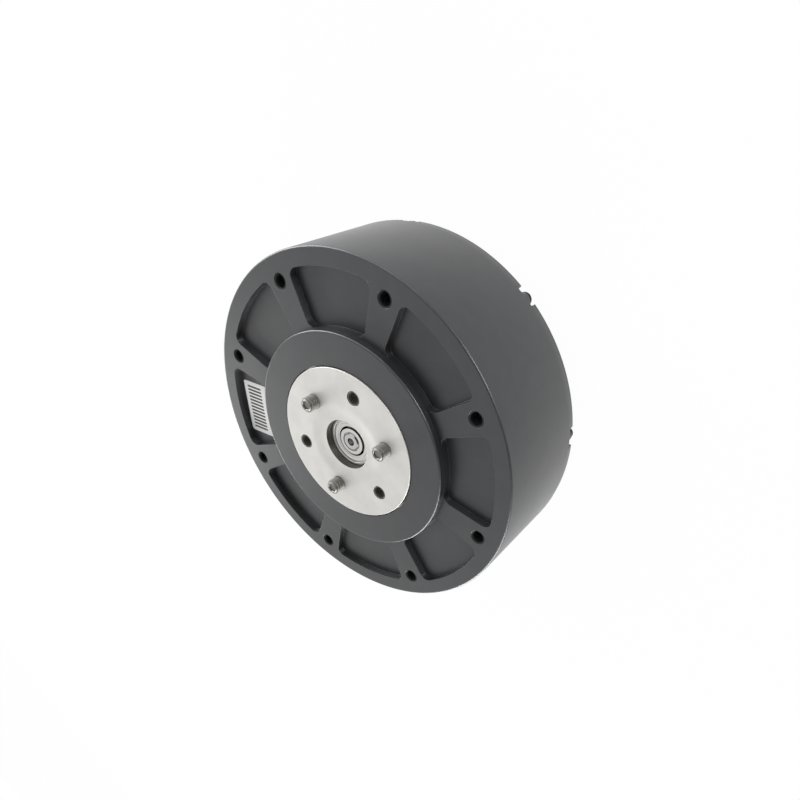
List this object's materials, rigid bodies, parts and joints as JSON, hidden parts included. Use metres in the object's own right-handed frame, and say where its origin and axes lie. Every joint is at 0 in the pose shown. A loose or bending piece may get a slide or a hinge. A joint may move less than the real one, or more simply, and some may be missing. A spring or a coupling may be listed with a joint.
{
  "type": "robot joint actuator",
  "caption": "Flat round brushless joint actuator with a planetary gearbox, a ribbed mounting face and a turning output disc with studs.",
  "frame": {"origin": "centre of the rear resting face, on the output axis", "axes": "+Z along the output axis, from the rear cover towards the output disc; +X through a front mounting hole; +Y towards the connector nose"},
  "size_m": [0.098, 0.098, 0.0417],
  "materials": {
    "black_anodised": "satin",
    "black_plastic": "matte",
    "black_screw": "satin",
    "board": "gloss",
    "bronze": "satin",
    "copper": "gloss",
    "cream_plastic": "matte",
    "gold_contact": "gloss",
    "hard_steel": "satin",
    "lamination": "matte",
    "machined_aluminium": "satin",
    "magnet": "gloss",
    "silicone": "matte",
    "steel": "satin",
    "white_film": "satin",
    "yellow_plastic": "matte"
  },
  "bodies": {
    "housing": {"housing": "black_anodised", "blank_label": "white_film", "rear_cover": "black_anodised", "rear_cover_screws": "black_screw", "bearing_plate": "machined_aluminium", "driver_board": "board", "board_screws": "steel", "power_transistors": "black_plastic", "thermal_pad": "silicone", "control_chips": "black_plastic", "capacitors": "machined_aluminium", "power_socket": "yellow_plastic", "power_socket_pins": "gold_contact", "signal_sockets": "cream_plastic", "signal_socket_pins": "gold_contact", "stator_core": "lamination", "stator_insulators": "black_plastic", "stator_coils": "copper", "phase_leads": "copper", "housing_snap_ring": "hard_steel", "ring_gear": "hard_steel", "main_bearing_outer_ring": "steel", "rear_bearing_outer_ring": "steel"},
    "output": {"output_flange": "machined_aluminium", "output_studs": "steel", "carrier_plate": "machined_aluminium", "carrier_screws": "black_screw", "planet_pins": "hard_steel", "output_snap_ring": "hard_steel", "main_bearing_inner_ring": "steel", "shaft_bearing_outer_ring": "steel", "shaft_bearing_shield": "steel"},
    "rotor": {"rotor_shaft": "steel", "rotor_hub": "machined_aluminium", "rotor_hub_screws": "black_screw", "rotor_ring": "hard_steel", "rotor_magnets": "magnet", "encoder_magnet": "magnet", "sun_gear": "hard_steel", "shaft_bearing_inner_ring": "steel", "rear_bearing_inner_ring": "steel"},
    "planet_1": {"planet_gear_1": "hard_steel", "planet_bush_1": "bronze"},
    "planet_2": {"planet_gear_2": "hard_steel", "planet_bush_2": "bronze"},
    "planet_3": {"planet_gear_3": "hard_steel", "planet_bush_3": "bronze"},
    "main_ball_set": {"main_bearing_balls": "steel", "main_bearing_cage": "bronze"},
    "shaft_ball_set": {"shaft_bearing_balls": "steel", "shaft_bearing_cage": "bronze"},
    "rear_ball_set": {"rear_bearing_balls": "steel", "rear_bearing_cage": "bronze"}
  },
  "joints": [
    {"name": "output_spin", "type": "hinge", "parent": "housing", "child": "output", "pos_m": [0, 0, 0.0369], "axis": [0, 0, 1], "continuous": true},
    {"name": "rotor_spin", "type": "hinge", "parent": "housing", "child": "rotor", "pos_m": [0, 0, 0.0128], "axis": [0, 0, 1], "continuous": true},
    {"name": "planet_spin_1", "type": "hinge", "parent": "output", "child": "planet_1", "pos_m": [0.0045, -0.01368, 0.0196], "axis": [0, 0, 1], "continuous": true},
    {"name": "planet_spin_2", "type": "hinge", "parent": "output", "child": "planet_2", "pos_m": [0.0096, 0.01073, 0.0196], "axis": [0, 0, 1], "continuous": true},
    {"name": "planet_spin_3", "type": "hinge", "parent": "output", "child": "planet_3", "pos_m": [-0.0141, 0.00295, 0.0196], "axis": [0, 0, 1], "continuous": true},
    {"name": "main_ball_roll", "type": "hinge", "parent": "housing", "child": "main_ball_set", "pos_m": [0, 0, 0.0299], "axis": [0, 0, 1], "continuous": true},
    {"name": "shaft_ball_roll", "type": "hinge", "parent": "output", "child": "shaft_ball_set", "pos_m": [0, 0, 0.0312], "axis": [0, 0, 1], "continuous": true},
    {"name": "rear_ball_roll", "type": "hinge", "parent": "housing", "child": "rear_ball_set", "pos_m": [0, 0, 0.0074], "axis": [0, 0, 1], "continuous": true}
  ],
  "couplings": [
    {"joint": "rotor_spin", "follows": "output_spin", "ratio": 6},
    {"joint": "planet_spin_1", "follows": "output_spin", "ratio": -2.5},
    {"joint": "planet_spin_2", "follows": "output_spin", "ratio": -2.5},
    {"joint": "planet_spin_3", "follows": "output_spin", "ratio": -2.5},
    {"joint": "main_ball_roll", "follows": "output_spin", "ratio": 0.46196},
    {"joint": "shaft_ball_roll", "follows": "output_spin", "ratio": 1.8684},
    {"joint": "rear_ball_roll", "follows": "output_spin", "ratio": 2.4}
  ]
}
